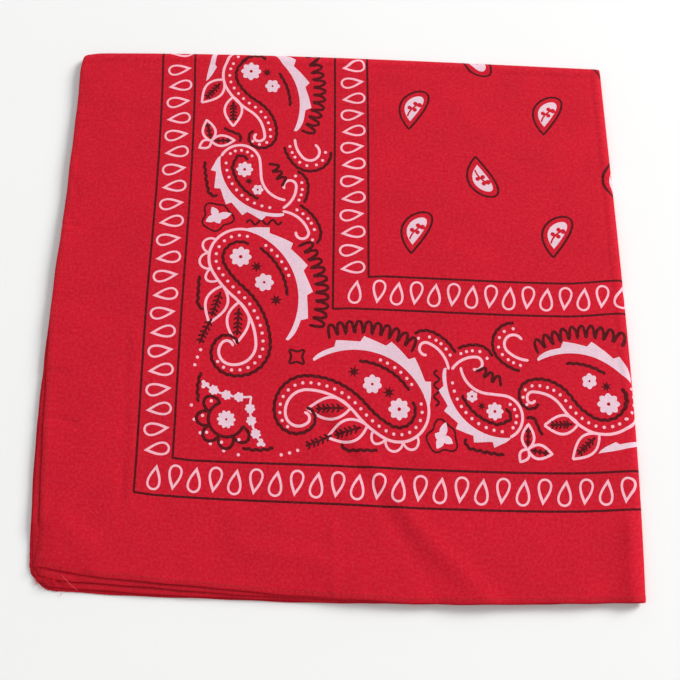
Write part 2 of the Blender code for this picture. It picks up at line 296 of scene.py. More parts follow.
class Drawing:
    """Printed shapes, in the order in which they go on: each is an ink and an outline."""

    def __init__(self):
        """An empty drawing."""
        self.marks = []

    def fill(self, ink, outline):
        """An area of ink inside an outline."""
        self.marks.append((ink, np.array(outline, float)))

    def line(self, ink, knots, width, wave=0.0, pitch=3.5, closed=False):
        """A line with round ends through the knots, waving to both sides if asked."""
        path = smooth_line(knots, LINE_STEP * (0.7 if wave else 1.0), closed)
        if wave:
            along = np.arange(len(path)) * LINE_STEP * 0.7
            path = beside(path, wave * np.sin(2 * np.pi * along / pitch))
        half = width / 2
        left, right = beside(path, half), beside(path, -half)
        if closed:
            left[-1], right[-1] = left[0], right[0]
            self.fill(ink, np.concatenate([left, right[::-1]]))
            return
        tip = path[-1] + (path[-1] - path[-2]) / LINE_STEP * half
        tail = path[0] + (path[0] - path[1]) / LINE_STEP * half
        self.fill(ink, np.concatenate([left, tip[None], right[::-1], tail[None]]))

    def dots(self, path, pitch=4.0, radius=0.8):
        """White dots along a path, a pitch apart."""
        count = max(int(round(np.hypot(*np.diff(path, axis=0).T).sum() / pitch)), 1) + 1
        for place in path[np.linspace(0, len(path) - 1, count).round().astype(int)]:
            self.fill(PALE, disc(place, radius, 8))

    def flower(self, centre, radius, petals, eye=0.8, depth=0.24):
        """A flower with a bare eye and a seed: the radius swells by its depth in every petal."""
        angle = np.linspace(0, 2 * np.pi, petals * 6, endpoint=False)
        swell = np.abs(np.cos(petals * angle / 2)) ** 1.3
        self.fill(WHITE, polar(centre, angle, radius * (1.03 - depth * (1 - swell))))
        if eye:
            self.fill(BARE, disc(centre, eye))
            self.fill(BLACK, disc(centre, eye * 0.45, 6))

    def burst(self, centre, radius, rays=7):
        """A small black star of thin rays."""
        angle = 0.2 + np.arange(rays * 2) * np.pi / rays
        reach = np.where(np.arange(rays * 2) % 2 == 0, radius, radius * 0.42)
        self.fill(BLACK, polar(centre, angle, reach))

    def twig(self, path, barbs=5, length=2.2):
        """A black stem with short barbs that lean forwards on both of its sides."""
        self.line(BLACK, path, TWIG_PEN)
        for share in np.linspace(0.15, 0.9, barbs):
            here = int(share * (len(path) - 2))
            run = path[here + 1] - path[here]
            run = run / np.hypot(*run)
            side = np.array([-run[1], run[0]])
            for hand in (1, -1):
                self.line(BLACK, [path[here], path[here] + length * (0.6 * run + 0.8 * hand * side)], 1.0)

    def leaf(self, base, heading, length, wide, bend=0.0, barbs=5):
        """A pale leaf outline, a sine wide on both sides of its bent rib, with a twig in it."""
        rib = arcs(base, heading, (length, bend))
        half = wide / 2 * np.sin(np.pi * shares(rib) ** 0.85)
        outline = np.concatenate([beside(rib, half), beside(rib, -half)[-2:0:-1]])
        self.fill(BARE, outline)
        self.line(PALE, outline, 1.25, closed=True)
        if barbs:
            self.twig(part(rib, 0.18, 0.80), barbs, wide * 0.22)

    def hanging_leaf(self, path, share, lean, length, wide, bend=0.0):
        """A leaf whose stalk is on a path, and which leans to its right, away from its heading."""
        base, ahead = part(path, share, 1)[:2]
        heading = np.degrees(np.arctan2(*(ahead - base)[::-1])) - lean
        self.leaf(base, heading, length, wide, bend)

    def feather(self, inside, wide, barbs, tooth, hand=1):
        """A white crescent on one side of a curve: a sine wide, and cut into barbs that point onwards."""
        share = np.linspace(0.0, 1.0, barbs * 8 + 1)
        place = share * barbs % 1.0
        place[-1] = 1.0
        fade = np.minimum(4 * (1 - share) + 0.35, 1)
        reach = wide * np.sin(np.pi * share ** 0.8) ** 0.75 + tooth * place ** 1.5 * fade
        root = inside[(share * (len(inside) - 1)).round().astype(int)]
        self.fill(WHITE, np.concatenate([inside[::2], beside(root, hand * reach)[::-1]]))

    def fringe(self, path, depth, teeth, hand=1):
        """A black line that swings out from a path in round teeth, each back to a point on the path."""
        share = np.linspace(0.0, 1.0, teeth * 6 + 1)
        swing = np.abs(np.sin(np.pi * share * teeth)) ** 0.7
        spine = path[(share * (len(path) - 1)).round().astype(int)]
        self.line(BLACK, beside(spine, hand * depth * swing), BLACK_PEN)

    def scallops(self, path, count, depth, ink=PALE, pen=1.15):
        """Open loops side by side along the right of a path, each half a sine deep."""
        for k in range(count):
            stretch = part(path, k / count, (k + 1) / count)
            self.line(ink, beside(stretch, -depth * np.sin(np.pi * shares(stretch)) ** 0.6), pen)

    def moved(self, change):
        """The same drawing with its outlines changed by a function."""
        copy = Drawing()
        copy.marks = [(ink, change(outline)) for ink, outline in self.marks]
        return copy

    def add(self, other):
        """Another drawing's shapes, on top of this one's."""
        self.marks = self.marks + other.marks


def band(draw, guide, hand, tail=0.62):
    """A paisley's band: a row of dots on its guide, a pale line outside its head, a black one inside.

    The head lies to the left of the guide where hand is 1. The band narrows over its tail.
    """
    half = hand * BAND_HALF * (1 - 0.62 * smooth((shares(guide) - tail) / (1 - tail)))
    draw.line(PALE, beside(guide, -half), PALE_PEN)
    draw.line(BLACK, beside(guide, half), BLACK_PEN, wave=0.2)
    draw.dots(part(guide, 0.02, tail + 0.22))


def curl(draw, guide, hand, first=0.12, last=0.85):
    """A pale line that curls, with a row of dots and then a black line on its outer side."""
    draw.line(PALE, guide, PALE_PEN)
    draw.dots(part(beside(guide, hand * 3.1), first, last))
    draw.line(BLACK, part(beside(guide, hand * 6.0), first, last), BLACK_PEN, wave=0.15)


def low_paisley(draw):
    """The paisley nearest the corner: its tail curls in below two leaves."""
    guide = arcs((94, 170), 152, (30, 148), (16, 20), (30, -48), (24, -105), (18, -120), (9, -120))
    edge = arcs((90, 174.5), -15, (70, -107))
    outside = beside(guide, -BAND_HALF)
    draw.hanging_leaf(outside, 0.31, 58, 20, 10.5)
    draw.hanging_leaf(outside, 0.40, 44, 21, 10.5)
    band(draw, guide, 1)
    draw.feather(edge, 5.1, 6, 3.4)
    draw.fringe(part(beside(edge, 10.5 - 3.5 * shares(edge)), 0.35, 0.85), 6.2, 10)
    draw.dots(part(beside(edge, -2.6), 0.2, 0.5))
    draw.line(BLACK, part(beside(edge, -5.4), 0.18, 0.66), BLACK_PEN, wave=0.2)
    draw.scallops(part(outside, 0.13, 0.28), 3, 4.6)
    draw.twig(arcs((76.5, 127), -118, (13, 10)), 5)
    draw.line(BLACK, arcs((69.5, 149), -90, (13, 0), (5, 70)), BLACK_PEN, wave=0.24)
    draw.line(BLACK, arcs((91, 178.5), 2, (17, 0)), 1.2, wave=1.3, pitch=5.6)
    draw.flower((89, 160), 5.2, 8, 0.95)
    draw.flower((101, 147), 4.6, 7, 0.7)
    draw.burst((97, 155), 3.2)
    draw.burst((107, 138), 3.2)


def middle_paisley(draw):
    """The paisley beside the middle of a side, whose tail parts into two curls."""
    body = arcs((76.5, 215), 66, (27, -150), (8, 0), (19, 76))
    edge = arcs((76, 215), -94, (52, 102))
    draw.line(PALE, body, PALE_PEN)
    dotted = [part(beside(body, -2.9), 0.05, 0.40)[::-1], part(beside(edge, 2.9), 0.04, 0.86)]
    draw.dots(np.concatenate(dotted))
    inner = [part(beside(body, -5.9), 0.16, 0.42)[::-1], part(beside(edge, 5.9), 0.14, 0.72)]
    draw.line(BLACK, np.concatenate(inner)[::3], BLACK_PEN, wave=0.2)
    draw.feather(edge, 3.6, 6, 3.2, hand=-1)
    curl(draw, arcs((109, 187), 36, (14, 56), (11, 200)), -1, 0.30, 0.70)
    curl(draw, arcs((109, 185), -8, (17, -62), (11, -200)), 1, 0.20, 0.72)
    curl(draw, arcs((113.5, 225), -86, (11, 40), (16, 190)), -1)
    draw.fringe(arcs((101, 211), -80, (14, 40)), 4.4, 3)
    draw.line(BLACK, arcs((68, 211), -84, (16, 8), (6, 90)), BLACK_PEN, wave=0.3)
    draw.flower((88.5, 207.5), 4.2, 8, 0.8)
    draw.flower((95.6, 196.4), 2.8, 6, 0.6)
    draw.burst((91, 201), 2.4)


def top_paisley(draw):
    """The paisley by the far fold, over two leaves, with a fringe and a torn feather beside it."""
    guide = arcs((98.5, 274.5), 152, (36, 150), (16, 26), (20, -58), (11, -120), (7, -110))
    edge = arcs((100, 275), -36, (50, -76))
    outside = beside(guide, -BAND_HALF)
    draw.hanging_leaf(outside, 0.35, 50, 17.5, 9.5)
    draw.hanging_leaf(outside, 0.46, 38, 17, 9)
    band(draw, guide, 1, 0.72)
    draw.feather(edge, 4.4, 4, 3.4)
    draw.fringe(arcs((118.5, 273), -66, (44, -52)), 6.2, 10)
    draw.line(BLACK, part(beside(edge, -5.0), 0.24, 0.7), BLACK_PEN, wave=0.2)
    draw.feather(arcs((66, 258), 84, (22, -12)), 2.6, 2, 1.6, hand=-1)
    draw.flower((89.5, 264.5), 5.2, 8, 0.9)
    draw.flower((101, 256), 3.8, 6, 0.6)
    draw.burst((98, 264), 2.8)


def trefoil(draw):
    """Three pointed leaves of unlike length on one stalk, with a waving black line beside them."""
    for heading, length, wide in ((104, 12.5, 6.5), (4, 12, 6), (214, 7, 4.6)):
        draw.leaf((70.6, 223), heading, length, wide, 0, 3 if length > 10 else 0)
    draw.line(BLACK, arcs((77, 230.5), -28, (7.5, 10), (5, -110)), BLACK_PEN, wave=0.15)


def lone_bud(draw):
    """A small white bud of four petals with an uneven black line round it, between two paisleys."""
    centre = (76, 181)
    angle = np.linspace(0, 2 * np.pi, 28, endpoint=False)
    reach = 7.2 + 0.9 * np.cos(3 * angle) + 0.7 * np.cos(5 * angle + 1.0)
    draw.line(BLACK, polar(centre, angle, reach), 1.0, closed=True)
    for heading, length in ((112, 6.0), (10, 7.5), (202, 6.0), (290, 4.0)):
        rib = arcs(centre, heading, (length, 12))
        half = 1.9 * np.sin(np.pi * (0.12 + 0.88 * shares(rib)))
        draw.fill(WHITE, np.concatenate([beside(rib, half), beside(rib, -half)[::-1]]))


def corner_spray(draw):
    """The flower in the corner: loops and dots round its outer side, and a small star inwards of it."""
    centre = (85, 78)
    ring = polar(centre, np.radians(np.linspace(112, 338, 121)), np.full(121, 8.4))
    draw.line(BLACK, ring, BLACK_PEN)
    draw.scallops(ring, 5, 5.6, BLACK, BLACK_PEN)
    draw.flower(centre, 4.3, 10, 0.6)
    beads = polar(centre, np.radians(np.linspace(124, 326, 99)), np.full(99, 11.2))
    for place in part(beads, 0.04, 1)[::21]:
        draw.fill(PALE, disc(place, 0.8, 8))
    corners = np.arange(8)
    star = polar((117.5, 110), np.pi / 4 * corners, np.where(corners % 2, 4.8, 2.6))
    draw.line(BLACK, star, 1.2, closed=True)


def corner_side(draw):
    """What lies on both sides of the corner flower: a chain of beads, a few dots and a black line."""
    chain = arcs((74.5, 94.5), -36, (23, 46))
    draw.line(WHITE, chain, 1.0)
    for share in (0.22, 0.5, 0.78):
        draw.flower(part(chain, share, 1)[0], 2.4, 7, 0)
    draw.flower(chain[0], 2.2, 3, 0, 0.6)
    draw.dots(arcs((68.5, 84), -84, (14, 26)), 6.0)
    draw.dots(arcs((72, 111.5), -112, (8, 8)))
    draw.line(BLACK, arcs((72.5, 100), -108, (14, 30)), BLACK_PEN, wave=0.3)


def comma(half_wide, half_long, bend):
    """A teardrop, tip down, whose head bends to the right as a straight part plus half a square."""
    outline = teardrop(half_wide, half_long, 1.0, 0.0)
    share = outline[:, 1] / half_long
    return outline + np.stack([bend * (share + 0.5 * share ** 2), 0 * share], axis=-1)


def field_drop(draw, centre, hand):
    """A small paisley of the middle field, its tip down, or up where hand is -1, with a sprig in it."""
    way = np.array([[1.0, 0.0], [0.0, hand]])
    draw.line(BLACK, np.array(centre) + comma(7.6, 11.2, 3.3) @ way, 1.15, closed=True)
    draw.fill(WHITE, np.array(centre) + (comma(4.8, 7.4, 2.5) + (0.3, 0.9)) @ way)
    sprig = arcs((-2.2, -3.4), 74, (9.5, -52))
    draw.line(BARE, np.array(centre) + sprig @ way, 0.9)
    for share, aside, radius in ((0.5, 1.3, 1.2), (0.6, -1.4, 1.2), (0.85, 1.3, 1.2), (1.0, -0.4, 1.4)):
        place = part(beside(sprig, aside), share, 1)[0]
        draw.fill(BARE, disc(np.array(centre) + place @ way, radius, 9))


def frame_sway_left(up):
    """How far the left frame lines bow to the right, as the cloth is laid."""
    return 1.0 - 2.3 * ((up - 155.0) / 112.0) ** 2


def frame_sway_near(along, up):
    """How far the near frame lines sway away from the hem, as the cloth is laid."""
    ripple = -0.6 * np.cos(2 * np.pi * (along - 60.0) / 180.0)
    return ripple + 2.0 * smooth((along - 245.0) / 30.0) * up / 150.0


def frame_drop(draw, centre, across, upwards):
    """A leaning teardrop ring of the frame's rows."""
    way = np.array([across, upwards], float)
    draw.fill(PALE, np.array(centre) + (teardrop(3.82, 6.2, 1.25, 2.0) * (1, -1) + (-0.5, 0)) @ way)
    draw.fill(BARE, np.array(centre) + (teardrop(2.65, 4.45, 1.25, 1.4) * (1, -1) + (-0.5, -0.72)) @ way)


def frames(drawing):
    """The four frame lines of each side, and the two rows of teardrops between them."""
    for number, (left, near) in enumerate(zip(FRAME_LEFT, FRAME_NEAR)):
        up = np.arange(near, FRAME_END, FRAME_STEP)
        along = np.arange(left, FRAME_END, FRAME_STEP)
        bow = 1.0 if number < 2 else 0.0
        lean = 0.0 if number < 2 else -0.004
        upright = np.stack([left + bow * frame_sway_left(up) + lean * (up - near), up], axis=-1)
        level = np.stack([along, near + frame_sway_near(along, near)], axis=-1)
        level[0] = upright[0]
        drawing.line(BLACK, upright, FRAME_PEN)
        drawing.line(BLACK, level, FRAME_PEN)
    rows = (
        # first place, places, pitch, how far the first stands back, middle
        (52.2, 25, 9.4, 0.0, 49.1),
        (147.3, 15, 8.95, 2.3, 143.2),
    )
    for first, places, pitch, back, middle in rows:
        for k in range(places):
            along = first + pitch * k - (back if k == 0 else 0)
            hand = 1 if k % 2 == 0 else -1
            up = middle + frame_sway_near(along, middle) + (0.5 if k % 2 else 0.0)
            frame_drop(drawing, (along, up), (hand, 0), (0, hand))
    columns = (
        # first place, places, pitch, middle, its bow
        (62.0, 23, 9.65, 52.9, 0.6),
        (156.2, 13, 9.4, 143.3, 0.0),
    )
    for first, places, pitch, middle, bow in columns:
        for k in range(places):
            up = first + pitch * k
            hand = -1 if k % 2 == 0 else 1
            along = middle + bow * frame_sway_left(up) + (-0.3 if k % 2 else 0.3)
            frame_drop(drawing, (along, up), (0, hand), (hand, 0))


def whole_print():
    """The print of one quarter of the square, hem to fold."""
    drawing = Drawing()
    frames(drawing)
    side = Drawing()
    for motif in (low_paisley, middle_paisley, top_paisley, trefoil, lone_bud):
        motif(side)
    corner = Drawing()
    corner_side(corner)
    knots, shift_in, shift_on = np.array(NEAR_SIDE_LIE).T

    def across_the_corner(outline):
        """The near side's motifs are the left side's, turned over, and lie a little differently."""
        across, along = outline[:, 0], outline[:, 1]
        return np.stack([along + np.interp(along, knots, shift_on),
                         across + np.interp(along, knots, shift_in)], axis=-1)

    drawing.add(side)
    drawing.add(side.moved(across_the_corner))
    drawing.add(corner)
    drawing.add(corner.moved(lambda outline: outline[:, ::-1] + (7.0, -7.0)))
    corner_spray(drawing)
    for column in range(2):
        for row in range(2):
            for along, up, step_along, step_up, hand in FIELD_DROPS:
                field_drop(drawing, (along + step_along * column, up + step_up * row), hand)
    return drawing


# ---- the lie of the cloth ---------------------------------------------------------------------------
# a crease: knots of its line on the face, depth (a ridge's is negative), half width, heave beside it
CREASES = (
    # the long mark across the near side: a trough, and a ridge that parts from it
    (((121, 90), (139, 68), (156, 44), (171, 21), (181, 3), (186, -8)), 0.56, 4.2, 0.0),
    (((129, 90), (147, 67), (163, 46), (181, 24), (193, 14), (206, 0), (213, -8)), -0.56, 4.2, 0.0),
    (((172, 28), (178, 20), (187, 3), (192, -12)), 0.28, 5.0, 0.0),
    (((176, 32), (184, 22), (197, 4), (205, -12)), -0.28, 5.0, 0.0),
    # the puffed near end of the right fold
    (((268.6, -10), (268.2, 10), (268.4, 28), (269, 42)), -0.80, 3.4, 0.0),
    (((257, -14), (257, 12), (259, 24), (262, 38)), 0.40, 6.5, 0.0),
    # the near hem sags where the hems under it step back
    (((88, 1.5), (118, 0), (148, -1)), 0.64, 6.0, 0.0),
    (((84, 19.5), (98, 19), (112, 18), (126, 17), (136, 16.5)), -0.85, 4.6, 0.0),
    (((76, 29), (112, 28), (144, 26)), -0.50, 8.0, 0.0),
    (((135.6, -10), (135.2, 12), (134.4, 38)), -0.30, 2.2, 0.0),
    (((151, -3), (152, 6), (150, 14)), 0.12, 1.8, 0.3),
    (((60, -6), (65, 4), (70, 12)), 0.40, 3.0, 0.2),
    # the near-left corner droops
    (((-5, -10), (-0.5, 4), (-1, 26)), 1.30, 4.0, 0.0),
    (((8, 36), (14, 19), (34, 13)), -0.50, 6.0, 0.0),
    (((-6, 1.0), (8, 1.5), (26, 1)), 0.60, 3.2, 0.0),
    (((1, 5.5), (5, 8), (7, 13)), 0.30, 1.6, 0.5),
    # the pressed line beside the left frame line
    (((36.6, 30), (37, 70), (36.4, 122)), 0.13, 1.8, 0.0),
    (((40.4, 32), (41, 70), (40.6, 122)), -0.15, 1.6, 0.0),
    (((36.8, 33), (37, 42), (36.8, 54)), 0.16, 1.6, 0.0),
    # puckers that run in from the left hem
    (((-4, 73.8), (7, 73.8), (18, 70)), 0.36, 1.7, 0.4),
    (((-4, 97.5), (6, 97), (13, 95)), 0.30, 1.6, 0.4),
    (((-2, 116), (6, 117), (12, 118)), 0.15, 1.4, 0.4),
    (((-2, 133), (9, 134), (27, 139)), 0.22, 3.4, 0.3),
    (((-2, 174), (5, 174.6), (12, 174)), 0.26, 1.0, 0.5),
    (((0, 184), (4, 178), (6, 172)), 0.14, 1.3, 0.4),
    (((1, 204), (4, 196), (6, 188)), 0.14, 1.3, 0.4),
    (((1, 222), (3, 213), (6, 204)), 0.16, 1.4, 0.4),
    (((-2, 236), (12, 239), (44, 236)), 0.20, 6.0, 0.0),
    (((1, 262), (3, 250), (2, 240)), 0.14, 1.5, 0.4),
)
FOLD_GROOVES = (
    # distance in from the fold, depth, half width
    (6.2, 0.14, 1.4),
    (3.8, -0.16, 1.5),
)


def to_line(along, up, knots):
    """Distance of places from a line, and how far along it the nearest place lies from its ends."""
    knots = smooth_line(knots, 6.0)
    starts, runs = knots[:-1], np.diff(knots, axis=0)
    lengths = np.hypot(runs[:, 0], runs[:, 1])
    offset_x = along[..., None] - starts[:, 0]
    offset_y = up[..., None] - starts[:, 1]
    share = np.clip((offset_x * runs[:, 0] + offset_y * runs[:, 1]) / lengths ** 2, 0, 1)
    away = np.hypot(offset_x - share * runs[:, 0], offset_y - share * runs[:, 1])
    nearest = away.argmin(axis=-1)[..., None]
    run = np.cumsum(lengths) - lengths + share * lengths
    to_end = np.minimum(run, lengths.sum() - run)
    return np.take_along_axis(away, nearest, -1)[..., 0], np.take_along_axis(to_end, nearest, -1)[..., 0]


def relief(along, up):
    """Height of the face's unevenness: soft troughs along the creases, grooves in the folds, waves.

    A trough is a bell curve across its line. It fades over its last 2.4 half widths at both ends,
    and may heave up a low swell on both sides.
    """
    height = np.zeros(np.shape(along))
    for knots, depth, half, heave in CREASES:
        away, to_end = to_line(along, up, knots)
        ends = smooth(to_end / (2.4 * half))
        bell = np.exp(-(away / half) ** 2)
        swell = np.exp(-((away - 2.1 * half) / (0.9 * half)) ** 2)
        height += depth * ends * (heave * 0.6 * swell - bell)
    for to_fold, share in ((FACE_SIDE - along, smooth((up - 50.0) / 40.0)), (FACE_SIDE - up, 1.0)):
        for inwards, depth, half in FOLD_GROOVES:
            height -= depth * share * np.exp(-((to_fold - inwards) / half) ** 2)
    height += 0.10 * np.sin(along / 23.0 + 1.3 * np.sin(up / 41.0)) * np.sin(up / 31.0 + 0.7)
    height += 0.05 * np.sin(along / 9.7 + up / 21.0) * np.sin(up / 11.3 - along / 37.0)
    height += 0.16 * np.exp(-np.minimum(along, up) / 7.0) * np.sin(along / 7.3 + up / 8.1)
    return height


RELIEF_SHARE = {"face": 1.0, "second": 0.8, "third": 0.5, "under": 0.0}


# ---- meshes -------------------------------------------------------------------------------------------
UV_UNIT = 100.0         # millimetres to one unit of the UV map "cloth"
SHARP_ANGLE = 60        # degrees between two faces from which their edge is sharp


def make_piece(name, places, triangles, materials, inks=None, flat=None, bake=None):
    """A mesh of triangles, with a material for each ink, and its flat places as a UV map."""
    mesh = bpy.data.meshes.new(name)
    mesh.from_pydata(places.tolist(), [], triangles.tolist())
    for material in materials:
        mesh.materials.append(material)
    if inks is not None:
        mesh.polygons.foreach_set("material_index", inks.astype(np.int32))
    corners = np.array(triangles).ravel()
    for layer_name, values in (("cloth", flat), ("OFBake", bake)):
        if values is not None:
            layer = mesh.uv_layers.new(name=layer_name)
            layer.data.foreach_set("uv", values[corners].astype(np.float32).ravel())
    mesh.shade_smooth()
    mesh.set_sharp_from_angle(angle=np.radians(SHARP_ANGLE))
    mesh.validate()
    piece = bpy.data.objects.new(name, mesh)
    bpy.context.scene.collection.objects.link(piece)
    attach(piece, "root")
    return piece


def grid_triangles(rows, columns, close_columns=False):
    """Triangles of a grid of points numbered row by row."""
    index = np.arange(rows * columns).reshape(rows, columns)
    if close_columns:
        index = np.concatenate([index, index[:, :1]], axis=1)
    a, b, c, d = index[:-1, :-1], index[1:, :-1], index[1:, 1:], index[:-1, 1:]
    return np.concatenate([np.stack([a, b, c], -1).reshape(-1, 3), np.stack([a, c, d], -1).reshape(-1, 3)])


def tube_triangles(sections, corners):
    """Triangles of a tube of sections, numbered section by section, with a fan over both its ends."""
    fan = np.stack([np.zeros(corners - 2, int), np.arange(1, corners - 1), np.arange(2, corners)], -1)
    last = (sections - 1) * corners
    sides = grid_triangles(sections, corners, close_columns=True)
    return np.concatenate([sides, fan, fan[:, ::-1] + last])


def walls_between(outer, inner):
    """Triangles of the wall between two closed loops of points, one under the other."""
    next_outer, next_inner = np.roll(outer, -1), np.roll(inner, -1)
    return np.concatenate([np.stack([outer, inner, next_inner], axis=-1),
                           np.stack([outer, next_inner, next_outer], axis=-1)])


SHEET_START = 1.2       # the sheet starts inside its hem
CELL = 2.9              # size of the cells between the prints
BACK_CELL = 9.0         # and on the side that doesn't show
HIDDEN_CELL = 4.0       # and on the hidden quarters
FOLD_CELLS = 15         # rows of cells round a fold
FOLD_LEAD = 4.0         # how far before its turn they start


def cell_lines(start, side, cell):
    """Grid lines across a sheet: even on the flat, closer round the fold."""
    flat_end = side - QUARTER_TURN - FOLD_LEAD
    flat_lines = np.linspace(start, flat_end, int((flat_end - start) / cell) + 1)
    return np.concatenate([flat_lines, np.linspace(flat_end, side, FOLD_CELLS + 1)[1:]])


# the bake map: the printed skin is a square in it, and the plain skin a narrow strip beside that
BAKE_LONG = 0.90
BAKE_MARGIN = 0.005
BAKE_STRIP = 0.06
BAKE_STRIP_START = 0.925


def round_the_rim(places, start, side):
    """How far round the sheet's rim each place lies, counter-clockwise, or -1 inside it."""
    along, up = places[:, 0], places[:, 1]
    length = side - start
    near = 1e-4
    where = np.full(len(places), -1.0)
    where = np.where(np.abs(along - start) < near, 3 * length + side - up, where)
    where = np.where(np.abs(up - side) < near, 2 * length + side - along, where)
    where = np.where(np.abs(along - side) < near, length + up - start, where)
    return np.where((np.abs(up - start) < near) & (along < side - near), along - start, where)


def triangulate(points, edges):
    """Triangles over the points that keep to the edges. Crossings become points of their own."""
    cut = delaunay_2d_cdt([Vector(point) for point in points.tolist()], edges.tolist(), [], 0, 1e-5, False)
    return np.array([tuple(vertex) for vertex in cut[0]]), np.array(cut[2], dtype=int)


def inside(points, outline):
    """Whether the points lie in an outline, by how often it winds round them."""
    a, b = outline, np.roll(outline, -1, axis=0)
    x, y = points[:, :1], points[:, 1:]
    side = (b[:, 0] - a[:, 0]) * (y - a[:, 1]) - (x - a[:, 0]) * (b[:, 1] - a[:, 1])
    rising = (a[:, 1] <= y) & (y < b[:, 1]) & (side > 0)
    falling = (b[:, 1] <= y) & (y < a[:, 1]) & (side < 0)
    return rising.sum(axis=1) != falling.sum(axis=1)


def crease_points():
    """Extra mesh points along the narrow creases, in five rows each, well inside the sheet."""
    points = []
    for knots, _, half, _ in CREASES:
        if half < CELL:
            path = smooth_line(knots, 0.7 * half)
            points += [beside(path, k * 0.8 * half) for k in (-2, -1, 0, 1, 2)]
    points = np.concatenate(points)
    return points[(np.abs(points - FACE_SIDE / 2) < FACE_SIDE / 2 - 3).all(axis=1)]


def cut_sheet(drawing):
    """The printed sheet laid flat: places, triangles and the ink of each triangle.

    The triangles keep to every printed outline, and each takes the last ink that covers it.
    """
    lines = cell_lines(SHEET_START, FACE_SIDE, CELL)
    index = np.arange(len(lines) ** 2).reshape(len(lines), len(lines))
    points = [np.stack(np.meshgrid(lines, lines, indexing="ij"), axis=-1).reshape(-1, 2)]
    points.append(crease_points())
    edges = [np.stack([row[:-1], row[1:]], axis=-1)
             for row in (index[:, 0], index[:, -1], index[0, :], index[-1, :])]
    count = len(points[0]) + len(points[1])
    marks = [(ink, outline) for ink, outline in drawing.marks
             if (outline.min(axis=0) < FACE_SIDE).all() and (outline.max(axis=0) > SHEET_START).all()]
    for _, outline in marks:
        ring = count + np.arange(len(outline))
        edges.append(np.stack([ring, np.roll(ring, -1)], axis=-1))
        points.append(outline)
        count += len(outline)
    places, triangles = triangulate(np.concatenate(points), np.concatenate(edges))
    middles = places[triangles].mean(axis=1)
    kept = ((middles > SHEET_START) & (middles < FACE_SIDE)).all(axis=1)
    triangles, middles = triangles[kept], middles[kept]
    inks = np.zeros(len(triangles), dtype=int)
    for ink, outline in marks:
        low, high = outline.min(axis=0), outline.max(axis=0)
        near = np.nonzero(((middles > low) & (middles < high)).all(axis=1))[0]
        if len(near):
            inks[near[inside(middles[near], outline)]] = ink
    used, triangles = np.unique(triangles, return_inverse=True)
    return places[used], triangles.reshape(-1, 3), inks


def printed_sheet(name, layer, sheet, materials):
    """A printed quarter as a thin closed shell: the printed skin, a plain skin inside, and a rim."""
    flat, triangles, inks = sheet
    scale = LAYERS[layer][0] / FACE_SIDE
    rim = round_the_rim(flat, SHEET_START, FACE_SIDE)
    outer_loop = np.argsort(rim)[np.count_nonzero(rim < 0):]
    lines = cell_lines(SHEET_START, FACE_SIDE, BACK_CELL)[1:-1]
    middle = np.stack(np.meshgrid(lines, lines, indexing="ij"), axis=-1).reshape(-1, 2)
    ring = np.arange(len(outer_loop))
    back_flat, back = triangulate(np.concatenate([flat[outer_loop], middle]),
                                  np.stack([ring, np.roll(ring, -1)], axis=-1))
    back_rim = round_the_rim(back_flat, SHEET_START, FACE_SIDE)
    inner_loop = np.argsort(back_rim)[np.count_nonzero(back_rim < 0):] + len(flat)
    walls = walls_between(outer_loop, inner_loop)
    all_triangles = np.concatenate([triangles, back[:, ::-1] + len(flat), walls])
    if layer == "under":
        all_triangles = all_triangles[:, ::-1]
    places = np.concatenate([lay(layer, flat[:, 0] * scale, flat[:, 1] * scale),
                             lay(layer, back_flat[:, 0] * scale, back_flat[:, 1] * scale, -CLOTH)])
    all_inks = np.concatenate([inks, np.full(len(back) + len(walls), BARE)])
    on_cloth = np.concatenate([flat, back_flat]) / UV_UNIT
    bake = np.concatenate([flat / FACE_SIDE * BAKE_LONG + BAKE_MARGIN,
                           back_flat / FACE_SIDE * (BAKE_STRIP, BAKE_LONG) + (BAKE_STRIP_START, BAKE_MARGIN)])
    return make_piece(name, places, all_triangles, materials, all_inks, on_cloth, bake)


def plain_sheet(name, layer, material):
    """A hidden quarter: an unprinted thin shell between its hems and the folds."""
    side = LAYERS[layer][0]
    lines = cell_lines(SHEET_START, side, HIDDEN_CELL)
    along, up = np.meshgrid(lines, lines, indexing="ij")
    count = len(lines)
    places = np.concatenate([lay(layer, along, up, lift).reshape(-1, 3) for lift in (0.0, -CLOTH)])
    top = grid_triangles(count, count)
    index = np.arange(count * count).reshape(count, count)
    loop = np.concatenate([index[:-1, 0], index[-1, :-1], index[:0:-1, -1], index[0, :0:-1]])
    walls = walls_between(loop, loop + count * count)
    flat = np.stack([along, up], axis=-1).reshape(-1, 2)
    flat = np.concatenate([flat, flat]) / UV_UNIT
    return make_piece(name, places, np.concatenate([top, top[:, ::-1] + count * count, walls]),
                      [material], None, flat)


# across the hem from its edge, and height over the middle of its three layers, round the section
HEM_SECTION = np.array([
    (0.02, -0.20), (0.12, -0.03), (0.42, 0.12), (1.00, 0.24), (1.50, 0.28), (1.78, 0.23), (1.92, 0.20),
    (2.08, 0.23), (2.55, 0.27), (3.05, 0.20), (3.60, 0.07), (3.30, -0.26), (2.35, -0.38), (1.10, -0.42),
    (0.35, -0.38), (0.08, -0.30),
])
HEM_STATION = 0.9       # distance between sections along a hem
HEM_START = {"left": 0.0, "near": 0.8}
SWAY = {"face": 0.3, "second": 2.1, "third": 4.4, "under": 5.9}     # phase of each layer's edge
FRAY = {"face": 0.25, "second": 0.5, "third": 0.7, "under": 0.7}    # how ragged its near-left corner is


def hem_lift(layer, height):
    """Lift from a layer's outside for a height over the middle of its hem."""
    return -(height + 0.52) if layer == "under" else height - 0.12


